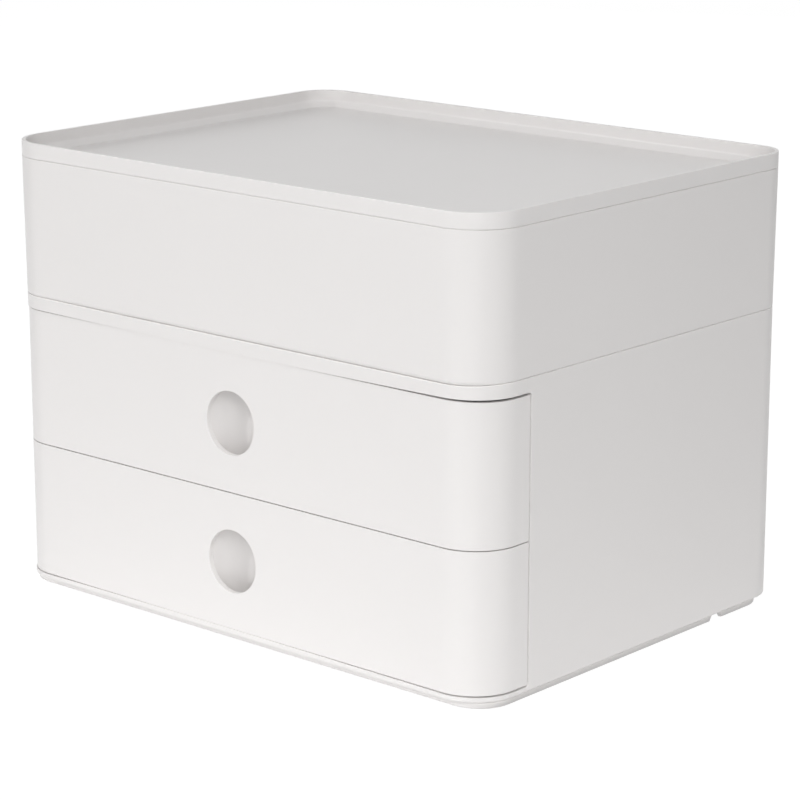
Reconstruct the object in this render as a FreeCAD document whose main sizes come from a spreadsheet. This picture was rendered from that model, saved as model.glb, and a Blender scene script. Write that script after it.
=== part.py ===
import FreeCAD, Part
import os
from math import asin, atan2, cos, hypot, pi, tan
from types import SimpleNamespace

import Sketcher

# A desk box of white moulded plastic: a housing with two drawers, a utensil box that stands
# on the housing's deck, and a lid that is also a shallow tray.
# Lengths are millimetres. X runs left to right, the fronts face -Y, Z is up, and the origin
# is the middle of the surface that the box stands on.
# Every length is named once here. Places that follow from these are worked out below.

SIZES = {
    # the lid's outline, which is the largest
    "overall_width": 260,
    "overall_depth": 195,
    "corner_front": 20,
    "corner_rear": 15.5,
    "housing_inset": 0.5,
    # heights, from the table up
    "foot_proud": 0.4,
    "skirt_height": 2.7,
    "strip_height": 2.4,
    "gap_below": 0.35,
    "gap_between": 0.45,
    "gap_above": 0.7,
    "front_height": 56.5,
    "lip_height": 5.95,
    "organizer_height": 57.5,
    "lid_height": 6.55,
    # housing shell
    "side_wall": 2.5,
    "back_wall": 2.2,
    "panel_setback": 28.25,
    "panel_gap": 0.5,
    "bay_corner": 1.5,
    "opening_edge": 0.6,
    "deck_wall": 2.2,
    "deck_recess": 2,
    "deck_rim": 2.6,
    "shell_foot_edge": 1,
    "seam_edge": 0.5,
    "cut_overrun": 5,
    # plinth frame
    "plinth_side_inset": 1,
    "plinth_front_inset": 3.1,
    "plinth_rear_inset": 7.5,
    "plinth_corner_front": 15,
    "plinth_corner_rear": 12,
    "plinth_wall": 2.2,
    "plinth_flange_wall": 0.8,
    "plinth_flange_width": 9,
    "plinth_edge": 0.8,
    "notch_from_rear": 37.5,
    "notch_width": 8,
    "notch_depth": 4,
    "notch_corner": 2,
    # rubber feet
    "foot_radius": 6.5,
    "foot_margin": 18,
    "foot_recess": 0.6,
    "foot_clearance": 0.3,
    "foot_edge": 0.6,
    # runners
    "runner_width": 4.5,
    "runner_web": 1.2,
    "runner_lip": 1.5,
    "runner_gap": 0.75,
    "runner_rear_gap": 0.3,
    "runner_clearance": 0.3,
    "stop_place": 20,
    "stop_length": 4,
    # drawer tray
    "tray_lift": 1.5,
    "tray_top_gap": 4.5,
    "tray_wall": 1.8,
    "tray_floor": 1.8,
    "tray_side_gap": 0.5,
    "tray_corner_rear": 8,
    "flange_wall": 1.8,
    "flange_width": 3.5,
    "flange_end_gap": 2,
    "lug_height": 1.2,
    "lug_length": 4,
    "lug_ramp": 2,
    # drawer front
    "front_wall": 2.5,
    "front_edge": 0.5,
    "finger_radius": 13,
    "finger_edge": 1,
    "finger_margin": 2,
    "finger_wall": 1.6,
    "shelf_wall": 1.8,
    "shelf_clearance": 0.3,
    # buffers
    "buffer_radius": 4,
    "buffer_height": 3,
    "buffer_clearance": 0.3,
    "buffer_from_side": 32,
    # utensil box
    "organizer_wall": 2.2,
    "organizer_floor": 2,
    "locating_clearance": 0.3,
    "locating_wall": 1.8,
    # divided insert
    "insert_clearance": 0.3,
    "insert_top_gap": 0.5,
    "insert_wall": 1.8,
    "insert_floor": 1.8,
    "pen_tray_depth": 60,
    "insert_corner": 6,
    "grip_radius": 10,
    # lid and tray
    "lid_rim": 1.8,
    "tray_depth": 4,
    "lid_floor": 2,
    "lid_floor_edge": 1.5,
    "lid_rim_edge": 0.6,
    "lid_skirt_depth": 3,
    "lid_skirt_wall": 1.6,
    "lid_skirt_clearance": 0.35,
}
CELL_COUNT = 3
TOUCH = 1e-6

doc = FreeCAD.newDocument("FileBox")
sheet = doc.addObject("Spreadsheet::Sheet", "Sizes")
for row, (alias, number) in enumerate(SIZES.items(), start=1):
    sheet.set(f"A{row}", alias)
    sheet.set(f"B{row}", str(number))
    sheet.setAlias(f"B{row}", alias)
doc.recompute()


class Measure:
    """A length with its number and its formula in the sheet's cells."""

    def __init__(self, number, formula):
        self.number = number
        self.formula = formula

    def __add__(self, other):
        other = measured(other)
        return Measure(self.number + other.number, f"({self.formula} + {other.formula})")

    def __sub__(self, other):
        other = measured(other)
        return Measure(self.number - other.number, f"({self.formula} - {other.formula})")

    def __mul__(self, factor):
        return Measure(self.number * factor, f"({self.formula} * {factor})")

    def __truediv__(self, divisor):
        return Measure(self.number / divisor, f"({self.formula} / {divisor})")

    def __neg__(self):
        return Measure(-self.number, f"(0 - {self.formula})")


def measured(value):
    """A plain number, which is only ever 0, as a Measure."""
    return value if isinstance(value, Measure) else Measure(value, str(value))


s = SimpleNamespace(**{
    alias: Measure(number, "Sizes." + alias) for alias, number in SIZES.items()
})


# Levels, from the table up

shell_bottom = s.foot_proud + s.skirt_height
bay_floor = shell_bottom + s.strip_height
lower_front = bay_floor + s.gap_below
upper_front = lower_front + s.front_height + s.gap_between
bay_top = upper_front + s.front_height + s.gap_above
deck_top = bay_top + s.lip_height
seam = deck_top + s.organizer_height
top = seam + s.lid_height


# Outlines in plan

class Outline:
    """A rounded rectangle seen from above, the same on the left as on the right."""

    def __init__(self, half_width, front, rear, front_radius, rear_radius):
        self.half_width = half_width
        self.front = front
        self.rear = rear
        self.front_radius = front_radius
        self.rear_radius = rear_radius

    def inset(self, wall):
        """The outline a wall's thickness further in."""
        return Outline(self.half_width - wall, self.front + wall, self.rear - wall,
                       self.front_radius - wall, self.rear_radius - wall)

    def corners(self):
        """Its corners anticlockwise, each with its radius."""
        return [
            (-self.half_width, self.front, self.front_radius),
            (self.half_width, self.front, self.front_radius),
            (self.half_width, self.rear, self.rear_radius),
            (-self.half_width, self.rear, self.rear_radius),
        ]

    def passes(self, point):
        """True when a point, seen from above, is on the outline."""
        across = abs(point.x)
        half = self.half_width.number
        for end, radius, inwards in (
            (self.front.number, self.front_radius.number, 1),
            (self.rear.number, self.rear_radius.number, -1),
        ):
            past_x = across - (half - radius)
            past_y = (end + inwards * radius - point.y) * inwards
            if past_x > TOUCH and past_y > TOUCH:
                return abs(hypot(past_x, past_y) - radius) < TOUCH
        on_side = abs(across - half) < TOUCH
        on_end = min(abs(point.y - self.front.number), abs(point.y - self.rear.number)) < TOUCH
        return on_side or on_end


lid_outline = Outline(s.overall_width / 2, -(s.overall_depth / 2), s.overall_depth / 2,
                      s.corner_front, s.corner_rear)
shell_outline = lid_outline.inset(s.housing_inset)
panel_front = shell_outline.front + s.panel_setback
bay_outline = Outline(shell_outline.half_width - s.side_wall,
                      shell_outline.front + s.side_wall,
                      shell_outline.rear - s.back_wall,
                      shell_outline.front_radius - s.side_wall,
                      shell_outline.rear_radius - s.side_wall)


# Sketches

def new_body(name):
    """An empty sub-part under its own name."""
    body = doc.addObject("PartDesign::Body", name)
    body.Label = name
    return body


def new_sketch(body, name, plane, level=0):
    """A sketch on one of the body's planes, moved along the plane's normal to a level."""
    sketch = body.newObject("Sketcher::SketchObject", f"{body.Name}_{name}")
    origin_planes = {feature.Role: feature for feature in body.Origin.OriginFeatures}
    sketch.AttachmentSupport = (origin_planes[plane], [""])
    sketch.MapMode = "FlatFace"
    sketch.setExpression("AttachmentOffset.Base.z", measured(level).formula)
    return sketch


def bind(sketch, kind, *items):
    """A dimension whose last item is the Measure that drives it."""
    *places, measure = items
    index = sketch.addConstraint(Sketcher.Constraint(kind, *places, measure.number))
    sketch.setExpression(f"Constraints[{index}]", measure.formula)


def place_point(sketch, geometry, end, x, y):
    """Ties one point of a sketch to its two coordinates."""
    for kind, axis, value in (("DistanceX", -2, x), ("DistanceY", -1, y)):
        if isinstance(value, Measure):
            bind(sketch, kind, -1, 1, geometry, end, value)
        else:
            sketch.addConstraint(Sketcher.Constraint("PointOnObject", geometry, end, axis))


def draw_outline(sketch, corners):
    """A closed outline of lines, with an arc at each corner that has a radius."""
    first = sketch.GeometryCount
    count = len(corners)
    points = [FreeCAD.Vector(c[0].number, c[1].number, 0) for c in corners]
    radii = [c[2] if len(c) > 2 else None for c in corners]
    ways = [(points[(i + 1) % count] - points[i]).normalize() for i in range(count)]
    turns = [ways[i - 1].getAngle(ways[i]) for i in range(count)]
    setbacks = [r.number * tan(turn / 2) if r else 0 for r, turn in zip(radii, turns)]
    for i in range(count):
        start = points[i] + ways[i] * setbacks[i]
        end = points[(i + 1) % count] - ways[i] * setbacks[(i + 1) % count]
        sketch.addGeometry(Part.LineSegment(start, end))
    for i in range(count):
        before = first + (i - 1) % count
        after = first + i
        if radii[i] is None:
            sketch.addConstraint(Sketcher.Constraint("Coincident", before, 2, after, 1))
            continue
        left_turn = ways[i - 1].cross(ways[i]).z > 0
        side = 1 if left_turn else -1
        leave = points[i] - ways[i - 1] * setbacks[i]
        join = points[i] + ways[i] * setbacks[i]
        inward = FreeCAD.Vector(-ways[i - 1].y, ways[i - 1].x, 0) * side
        centre = leave + inward * radii[i].number
        angles = [atan2((p - centre).y, (p - centre).x) for p in (leave, join)]
        if not left_turn:
            angles.reverse()
        circle = Part.Circle(centre, FreeCAD.Vector(0, 0, 1), radii[i].number)
        arc = sketch.addGeometry(Part.ArcOfCircle(circle, *angles))
        leave_end, join_end = (1, 2) if left_turn else (2, 1)
        sketch.addConstraint(Sketcher.Constraint("Tangent", before, 2, arc, leave_end))
        sketch.addConstraint(Sketcher.Constraint("Tangent", arc, join_end, after, 1))
        bind(sketch, "Radius", arc, radii[i])
    upright = [abs(way.x) < TOUCH for way in ways]
    level = [abs(way.y) < TOUCH for way in ways]
    for i in range(count):
        if upright[i]:
            sketch.addConstraint(Sketcher.Constraint("Vertical", first + i))
            bind(sketch, "DistanceX", -1, 1, first + i, 1, corners[i][0])
        if level[i]:
            sketch.addConstraint(Sketcher.Constraint("Horizontal", first + i))
            bind(sketch, "DistanceY", -1, 1, first + i, 1, corners[i][1])
        if not (upright[i - 1] or upright[i]):
            bind(sketch, "DistanceX", -1, 1, first + i, 1, corners[i][0])
        if not (level[i - 1] or level[i]):
            bind(sketch, "DistanceY", -1, 1, first + i, 1, corners[i][1])


def draw_circle(sketch, x, y, radius):
    """A full circle about one point."""
    centre = FreeCAD.Vector(measured(x).number, measured(y).number, 0)
    circle = sketch.addGeometry(Part.Circle(centre, FreeCAD.Vector(0, 0, 1), radius.number))
    place_point(sketch, circle, 3, x, y)
    bind(sketch, "Radius", circle, radius)


def draw_segment(sketch, centre_y, chord_y, radius):
    """The part of a disc on the centre plane that lies behind a chord from left to right."""
    centre = FreeCAD.Vector(0, centre_y.number, 0)
    rise = asin((chord_y - centre_y).number / radius.number)
    circle = Part.Circle(centre, FreeCAD.Vector(0, 0, 1), radius.number)
    arc = sketch.addGeometry(Part.ArcOfCircle(circle, rise, pi - rise))
    reach = FreeCAD.Vector(radius.number * cos(rise), 0, 0)
    middle_of_chord = FreeCAD.Vector(0, chord_y.number, 0)
    chord = sketch.addGeometry(Part.LineSegment(middle_of_chord - reach, middle_of_chord + reach))
    sketch.addConstraint(Sketcher.Constraint("Coincident", arc, 2, chord, 1))
    sketch.addConstraint(Sketcher.Constraint("Coincident", arc, 1, chord, 2))
    sketch.addConstraint(Sketcher.Constraint("Horizontal", chord))
    place_point(sketch, arc, 3, 0, centre_y)
    bind(sketch, "Radius", arc, radius)
    bind(sketch, "DistanceY", -1, 1, chord, 1, chord_y)


# Features

def pad(sketch, length, reverse=False, kind="Pad", both_ways=False):
    """Raises a sketch along its normal, or cuts it the other way when kind is Pocket."""
    body = sketch.getParentGeoFeatureGroup()
    doc.recompute()
    before = 0 if body.Shape.isNull() else body.Shape.Volume
    feature = body.newObject("PartDesign::" + kind, sketch.Name + "_" + kind.lower())
    feature.Profile = sketch
    feature.setExpression("Length", length.formula)
    feature.Reversed = reverse
    if both_ways:
        feature.SideType = "Symmetric"
    doc.recompute()
    if (body.Shape.Volume > before) == (kind == "Pocket"):
        raise RuntimeError(f"{feature.Name} points away from its solid")
    return feature


def pocket(sketch, length, reverse=False, both_ways=False):
    """Cuts a sketch out of its body."""
    return pad(sketch, length, reverse, "Pocket", both_ways)


def loft(body, name, lower, lower_level, upper, upper_level, kind="AdditiveLoft"):
    """A drafted form between two outlines at two levels."""
    sketches = []
    for part, outline, level in (("lower", lower, lower_level), ("upper", upper, upper_level)):
        sketch = new_sketch(body, f"{name}_{part}", "XY_Plane", level)
        draw_outline(sketch, outline.corners())
        sketches.append(sketch)
    doc.recompute()
    feature = body.newObject("PartDesign::" + kind, f"{body.Name}_{name}")
    feature.Profile = sketches[0]
    feature.Sections = sketches[1:]
    feature.Ruled = True
    doc.recompute()
    return feature


def middle(edge):
    """The point halfway along an edge."""
    return edge.valueAt((edge.FirstParameter + edge.LastParameter) / 2)


def lies_at(edge, level):
    """True when an edge is level and at one height."""
    heights = [vertex.Z for vertex in edge.Vertexes] + [middle(edge).z]
    return all(abs(height - level.number) < TOUCH for height in heights)


def is_upright(edge, y):
    """True when an edge stands straight up at one distance from the front."""
    start, end = edge.Vertexes[0].Point, edge.Vertexes[-1].Point
    straight = abs(start.x - end.x) < TOUCH and abs(start.y - end.y) < TOUCH
    return straight and abs(start.z - end.z) > TOUCH and abs(start.y - y.number) < TOUCH


def dress_edges(body, name, kind, size, chosen):
    """Rounds or bevels the edges of a body that pass a test."""
    base = body.Tip
    names = [f"Edge{i}" for i, edge in enumerate(base.Shape.Edges, start=1) if chosen(edge)]
    if not names:
        raise RuntimeError(f"{body.Name} has no edges for {name}")
    feature = body.newObject("PartDesign::" + kind, f"{body.Name}_{name}")
    feature.Base = (base, names)
    feature.setExpression("Radius" if kind == "Fillet" else "Size", size.formula)
    doc.recompute()
    return feature


def mirror_left(body, feature):
    """Repeats a feature of the right side on the left."""
    both = body.newObject("PartDesign::Mirrored", feature.Name + "_both")
    both.Originals = [feature]
    planes = {plane.Role: plane for plane in body.Origin.OriginFeatures}
    both.MirrorPlane = (planes["YZ_Plane"], [""])
    body.Tip = both
    doc.recompute()


# Plinth and feet

plinth_outline = Outline(shell_outline.half_width - s.plinth_side_inset,
                         shell_outline.front + s.plinth_front_inset,
                         shell_outline.rear - s.plinth_rear_inset,
                         s.plinth_corner_front, s.plinth_corner_rear)
foot_x = plinth_outline.half_width - s.foot_margin
foot_y = plinth_outline.rear - s.foot_margin
foot_places = {
    "front_left": (-foot_x, -foot_y),
    "front_right": (foot_x, -foot_y),
    "rear_left": (-foot_x, foot_y),
    "rear_right": (foot_x, foot_y),
}


def make_plinth_frame():
    """A low skirt with an inward flange, and an arched notch near the rear of each side."""
    body = new_body("plinth_frame")
    skirt = new_sketch(body, "skirt", "XY_Plane", s.foot_proud)
    draw_outline(skirt, plinth_outline.corners())
    draw_outline(skirt, plinth_outline.inset(s.plinth_wall).corners())
    pad(skirt, s.skirt_height)
    flange = new_sketch(body, "flange", "XY_Plane", shell_bottom)
    draw_outline(flange, plinth_outline.inset(s.plinth_wall / 2).corners())
    draw_outline(flange, plinth_outline.inset(s.plinth_flange_width).corners())
    pad(flange, s.plinth_flange_wall, reverse=True)
    notch = new_sketch(body, "notch", "YZ_Plane", plinth_outline.half_width + s.cut_overrun)
    notch_rear = plinth_outline.rear - s.notch_from_rear + s.notch_width / 2
    notch_front = notch_rear - s.notch_width
    draw_outline(notch, [
        (notch_front, s.foot_proud - s.cut_overrun),
        (notch_rear, s.foot_proud - s.cut_overrun),
        (notch_rear, shell_bottom, s.notch_corner),
        (notch_front, shell_bottom, s.notch_corner),
    ])
    mirror_left(body, pocket(notch, s.notch_depth + s.cut_overrun))
    dress_edges(body, "lower_edge", "Chamfer", s.plinth_edge, lambda edge: (
        lies_at(edge, s.foot_proud) and plinth_outline.passes(middle(edge))))
    return body


def make_foot(place):
    """A turned rubber foot, seated in a shallow recess of the shell's underside."""
    body = new_body("foot_" + place)
    height = shell_bottom + s.foot_recess
    profile = new_sketch(body, "profile", "XZ_Plane")
    radius = s.foot_radius
    lines = [
        ((0, 0), (radius, 0)),
        ((radius, 0), (radius, height)),
        ((radius, height), (0, height)),
        ((0, height), (0, 0)),
    ]
    for start, end in lines:
        points = [FreeCAD.Vector(measured(x).number, measured(z).number, 0) for x, z in (start, end)]
        line = profile.addGeometry(Part.LineSegment(*points))
        place_point(profile, line, 1, *start)
    for line in range(len(lines)):
        following = (line + 1) % len(lines)
        profile.addConstraint(Sketcher.Constraint("Coincident", line, 2, following, 1))
    doc.recompute()
    turned = body.newObject("PartDesign::Revolution", body.Name + "_turned")
    turned.Profile = profile
    turned.ReferenceAxis = (profile, ["V_Axis"])
    doc.recompute()
    dress_edges(body, "sole_edge", "Chamfer", s.foot_edge, lambda edge: (
        lies_at(edge, measured(0)) and hypot(middle(edge).x, middle(edge).y) > TOUCH))
    x, y = foot_places[place]
    body.setExpression("Placement.Base.x", x.formula)
    body.setExpression("Placement.Base.y", y.formula)
    return body


# Housing shell

def make_housing_shell():
    """The sleeve: deck with its lip, side panels, back and the strip under the drawers."""
    body = new_body("housing_shell")
    block = new_sketch(body, "block", "XY_Plane", shell_bottom)
    draw_outline(block, shell_outline.corners())
    pad(block, deck_top - shell_bottom)

    opening = new_sketch(body, "opening", "YZ_Plane")
    draw_outline(opening, [
        (shell_outline.front - s.cut_overrun, bay_floor),
        (panel_front, bay_floor, s.bay_corner),
        (panel_front, bay_top, s.bay_corner),
        (shell_outline.front - s.cut_overrun, bay_top),
    ])
    pocket(opening, s.overall_width, both_ways=True)

    bay = new_sketch(body, "bay", "XY_Plane", bay_floor)
    draw_outline(bay, [
        (-bay_outline.half_width, panel_front - s.bay_corner),
        (bay_outline.half_width, panel_front - s.bay_corner),
        (bay_outline.half_width, bay_outline.rear, bay_outline.rear_radius),
        (-bay_outline.half_width, bay_outline.rear, bay_outline.rear_radius),
    ])
    pocket(bay, bay_top - bay_floor, reverse=True)

    under_deck = new_sketch(body, "under_deck", "XY_Plane", bay_top)
    draw_outline(under_deck, bay_outline.corners())
    pocket(under_deck, s.lip_height - s.deck_recess - s.deck_wall, reverse=True)

    recess = new_sketch(body, "recess", "XY_Plane", deck_top)
    draw_outline(recess, shell_outline.inset(s.deck_rim).corners())
    pocket(recess, s.deck_recess)

    seats = new_sketch(body, "foot_seats", "XY_Plane", shell_bottom)
    for x, y in foot_places.values():
        draw_circle(seats, x, y, s.foot_radius + s.foot_clearance)
    pocket(seats, s.foot_recess, reverse=True)

    dress_edges(body, "opening_edges", "Chamfer", s.opening_edge, lambda edge: (
        shell_outline.passes(middle(edge)) and (
            is_upright(edge, panel_front) or lies_at(edge, bay_floor) or lies_at(edge, bay_top))))
    dress_edges(body, "deck_edge", "Chamfer", s.seam_edge, lambda edge: (
        lies_at(edge, deck_top) and shell_outline.passes(middle(edge))))
    dress_edges(body, "lower_edge", "Chamfer", s.shell_foot_edge, lambda edge: (
        lies_at(edge, shell_bottom) and shell_outline.passes(middle(edge))))
    return body


# Runners

front_end = panel_front - s.panel_gap
tray_outline = Outline(bay_outline.half_width - s.runner_width - s.tray_side_gap,
                       shell_outline.front + s.front_wall,
                       bay_outline.rear - s.buffer_height - s.buffer_clearance,
                       shell_outline.front_radius - s.front_wall,
                       s.tray_corner_rear)
runner_front = panel_front + s.runner_gap
runner_rear = bay_outline.rear - bay_outline.rear_radius - s.runner_rear_gap
levels = {"upper": upper_front, "lower": lower_front}
sides = {"left": -1, "right": 1}


def tray_top_at(front_bottom):
    """The height of a drawer tray's rim."""
    return front_bottom + s.front_height - s.tray_top_gap


def mirrored(corners, side):
    """An outline drawn for the right, or turned over for the left."""
    if side > 0:
        return corners
    return [(-x, *rest) for x, *rest in reversed(corners)]


def make_runner(level, side):
    """A channel on the side panel for one flange, with a stop that catches the flange's lug."""
    body = new_body(f"runner_{level}_{side}")
    flange_top = tray_top_at(levels[level])
    bottom = flange_top - s.flange_wall - s.runner_clearance - s.runner_lip
    slot_top = flange_top + s.lug_height + s.runner_clearance
    outer = bay_outline.half_width
    inner = outer - s.runner_width
    channel = new_sketch(body, "channel", "XZ_Plane", -runner_front)
    draw_outline(channel, mirrored([
        (inner, bottom),
        (outer, bottom),
        (outer, slot_top + s.runner_lip),
        (inner, slot_top + s.runner_lip),
        (inner, slot_top),
        (outer - s.runner_web, slot_top),
        (outer - s.runner_web, bottom + s.runner_lip),
        (inner, bottom + s.runner_lip),
    ], sides[side]))
    pad(channel, runner_rear - runner_front, reverse=True)
    stop = new_sketch(body, "stop", "XZ_Plane", -(runner_front + s.stop_place))
    draw_outline(stop, mirrored([
        (inner, slot_top - s.lug_height),
        (outer, slot_top - s.lug_height),
        (outer, slot_top + s.runner_lip),
        (inner, slot_top + s.runner_lip),
    ], sides[side]))
    pad(stop, s.stop_length, reverse=True)
    return body


# Buffers

def make_buffer(level, side):
    """A rubber button on the back wall, which the closed drawer's tray rests against."""
    body = new_body(f"buffer_{level}_{side}")
    button = new_sketch(body, "button", "XZ_Plane")
    draw_circle(button, 0, 0, s.buffer_radius)
    pad(button, s.buffer_height)
    centre = levels[level] + s.front_height / 2
    beside = tray_outline.half_width - s.buffer_from_side
    body.setExpression("Placement.Base.x", (beside * sides[side]).formula)
    body.setExpression("Placement.Base.y", bay_outline.rear.formula)
    body.setExpression("Placement.Base.z", centre.formula)
    return body


# Drawers

def make_drawer_tray(level):
    """The tray: walls, floor, side flanges with stop lugs, and a closed pocket for a finger."""
    body = new_body(f"drawer_{level}_tray")
    bottom = levels[level] + s.tray_lift
    rim = tray_top_at(levels[level])
    height = rim - bottom
    block = new_sketch(body, "block", "XY_Plane", bottom)
    draw_outline(block, tray_outline.corners())
    pad(block, height)
    inside = new_sketch(body, "inside", "XY_Plane", rim)
    draw_outline(inside, tray_outline.inset(s.tray_wall).corners())
    pocket(inside, height - s.tray_floor)

    hole_centre = levels[level] + s.front_height / 2
    half_pocket = s.finger_radius + s.finger_margin
    half_bulge = half_pocket + s.finger_wall
    bulge = new_sketch(body, "bulge", "XY_Plane", hole_centre - half_bulge)
    draw_segment(bulge, shell_outline.front, tray_outline.front, s.finger_radius + s.finger_wall)
    pad(bulge, half_bulge * 2)
    hollow = new_sketch(body, "finger_pocket", "XY_Plane", hole_centre - half_pocket)
    draw_segment(hollow, shell_outline.front, tray_outline.front, s.finger_radius)
    pocket(hollow, half_pocket * 2, reverse=True)

    inner = tray_outline.half_width - s.tray_wall
    outer = tray_outline.half_width + s.flange_width
    flange_front = runner_front + s.flange_end_gap
    flange_rear = runner_rear - s.flange_end_gap
    flanges = new_sketch(body, "flanges", "XY_Plane", rim)
    for side in sides.values():
        draw_outline(flanges, mirrored([
            (inner, flange_front), (outer, flange_front), (outer, flange_rear), (inner, flange_rear),
        ], side))
    pad(flanges, s.flange_wall, reverse=True)
    lug_inner = bay_outline.half_width - s.runner_width
    lug = new_sketch(body, "lug", "YZ_Plane", lug_inner)
    draw_outline(lug, [
        (flange_rear - s.lug_length, rim - s.flange_wall),
        (flange_rear, rim - s.flange_wall),
        (flange_rear, rim),
        (flange_rear - s.lug_ramp, rim + s.lug_height),
        (flange_rear - s.lug_length, rim + s.lug_height),
    ])
    mirror_left(body, pad(lug, outer - lug_inner))
    return body


def make_drawer_front(level):
    """The front: a band that wraps both corners, with a round hole and a rim shelf."""
    body = new_body(f"drawer_{level}_front")
    bottom = levels[level]
    hole_centre = bottom + s.front_height / 2

    def band(inner_half, inner_front, inner_radius):
        outer = shell_outline
        return [
            (-outer.half_width, front_end),
            (-outer.half_width, outer.front, outer.front_radius),
            (outer.half_width, outer.front, outer.front_radius),
            (outer.half_width, front_end),
            (inner_half, front_end),
            (inner_half, inner_front, inner_radius),
            (-inner_half, inner_front, inner_radius),
            (-inner_half, front_end),
        ]

    wall = new_sketch(body, "wall", "XY_Plane", bottom)
    draw_outline(wall, band(shell_outline.half_width - s.front_wall,
                            shell_outline.front + s.front_wall,
                            shell_outline.front_radius - s.front_wall))
    pad(wall, s.front_height)
    shelf = new_sketch(body, "shelf", "XY_Plane", tray_top_at(bottom))
    draw_outline(shelf, band(tray_outline.half_width + s.shelf_clearance,
                             tray_outline.front - s.shelf_clearance,
                             tray_outline.front_radius + s.shelf_clearance))
    pad(shelf, s.shelf_wall, reverse=True)
    hole = new_sketch(body, "hole", "XZ_Plane", -(shell_outline.front - s.cut_overrun))
    draw_circle(hole, 0, hole_centre, s.finger_radius)
    pocket(hole, s.cut_overrun * 2)

    dress_edges(body, "hole_edge", "Chamfer", s.finger_edge, lambda edge: (
        abs(middle(edge).y - shell_outline.front.number) < TOUCH
        and abs(edge.BoundBox.XLength - s.finger_radius.number * 2) < TOUCH))
    dress_edges(body, "outer_edges", "Chamfer", s.front_edge, lambda edge: (
        shell_outline.passes(middle(edge)) and (
            is_upright(edge, front_end) or lies_at(edge, bottom)
            or lies_at(edge, bottom + s.front_height))))
    return body


# Utensil box, insert and lid

organizer_inside_foot = shell_outline.inset(s.organizer_wall)
organizer_inside_mouth = lid_outline.inset(s.organizer_wall)
organizer_floor_top = deck_top + s.organizer_floor


def make_organizer_box():
    """The utensil box: drafted walls, and a ring underneath that sits in the deck's recess."""
    body = new_body("organizer_box")
    loft(body, "outside", shell_outline, deck_top, lid_outline, seam)
    loft(body, "inside", organizer_inside_foot, organizer_floor_top,
         organizer_inside_mouth, seam, "SubtractiveLoft")
    ring_outline = shell_outline.inset(s.deck_rim + s.locating_clearance)
    ring = new_sketch(body, "locating_ring", "XY_Plane", deck_top)
    draw_outline(ring, ring_outline.corners())
    draw_outline(ring, ring_outline.inset(s.locating_wall).corners())
    pad(ring, s.deck_recess - s.locating_clearance, reverse=True)
    dress_edges(body, "foot_edge", "Chamfer", s.seam_edge, lambda edge: (
        lies_at(edge, deck_top) and shell_outline.passes(middle(edge))))
    dress_edges(body, "mouth_edge", "Chamfer", s.seam_edge, lambda edge: (
        lies_at(edge, seam) and lid_outline.passes(middle(edge))))
    return body


def make_organizer_insert():
    """The divided insert: a pen tray along the front and a row of cells behind it."""
    body = new_body("organizer_insert")
    outline = organizer_inside_foot.inset(s.insert_clearance)
    hollow = outline.inset(s.insert_wall)
    rim = seam - s.lid_skirt_depth - s.insert_top_gap
    height = rim - organizer_floor_top
    depth = height - s.insert_floor
    block = new_sketch(body, "block", "XY_Plane", organizer_floor_top)
    draw_outline(block, outline.corners())
    pad(block, height)

    pen_rear = hollow.front + s.pen_tray_depth
    pens = new_sketch(body, "pen_tray", "XY_Plane", rim)
    draw_outline(pens, [
        (-hollow.half_width, hollow.front, hollow.front_radius),
        (hollow.half_width, hollow.front, hollow.front_radius),
        (hollow.half_width, pen_rear, s.insert_corner),
        (-hollow.half_width, pen_rear, s.insert_corner),
    ])
    pocket(pens, depth)

    cell_pitch = (hollow.half_width * 2 + s.insert_wall) / CELL_COUNT
    cell_left = -hollow.half_width
    cell_right = cell_left + cell_pitch - s.insert_wall
    cell = new_sketch(body, "cell", "XY_Plane", rim)
    draw_outline(cell, [
        (cell_left, pen_rear + s.insert_wall, hollow.rear_radius),
        (cell_right, pen_rear + s.insert_wall, hollow.rear_radius),
        (cell_right, hollow.rear, hollow.rear_radius),
        (cell_left, hollow.rear, hollow.rear_radius),
    ])
    first_cell = pocket(cell, depth)
    row = body.newObject("PartDesign::LinearPattern", "organizer_insert_cell_row")
    row.Originals = [first_cell]
    axes = {feature.Role: feature for feature in body.Origin.OriginFeatures}
    row.Direction = (axes["X_Axis"], [""])
    row.setExpression("Length", (cell_pitch * (CELL_COUNT - 1)).formula)
    row.Occurrences = CELL_COUNT
    body.Tip = row
    doc.recompute()

    grips = new_sketch(body, "grips", "YZ_Plane")
    draw_circle(grips, (pen_rear + s.insert_wall + hollow.rear) / 2, rim, s.grip_radius)
    pocket(grips, s.overall_width, both_ways=True)
    return body


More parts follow.
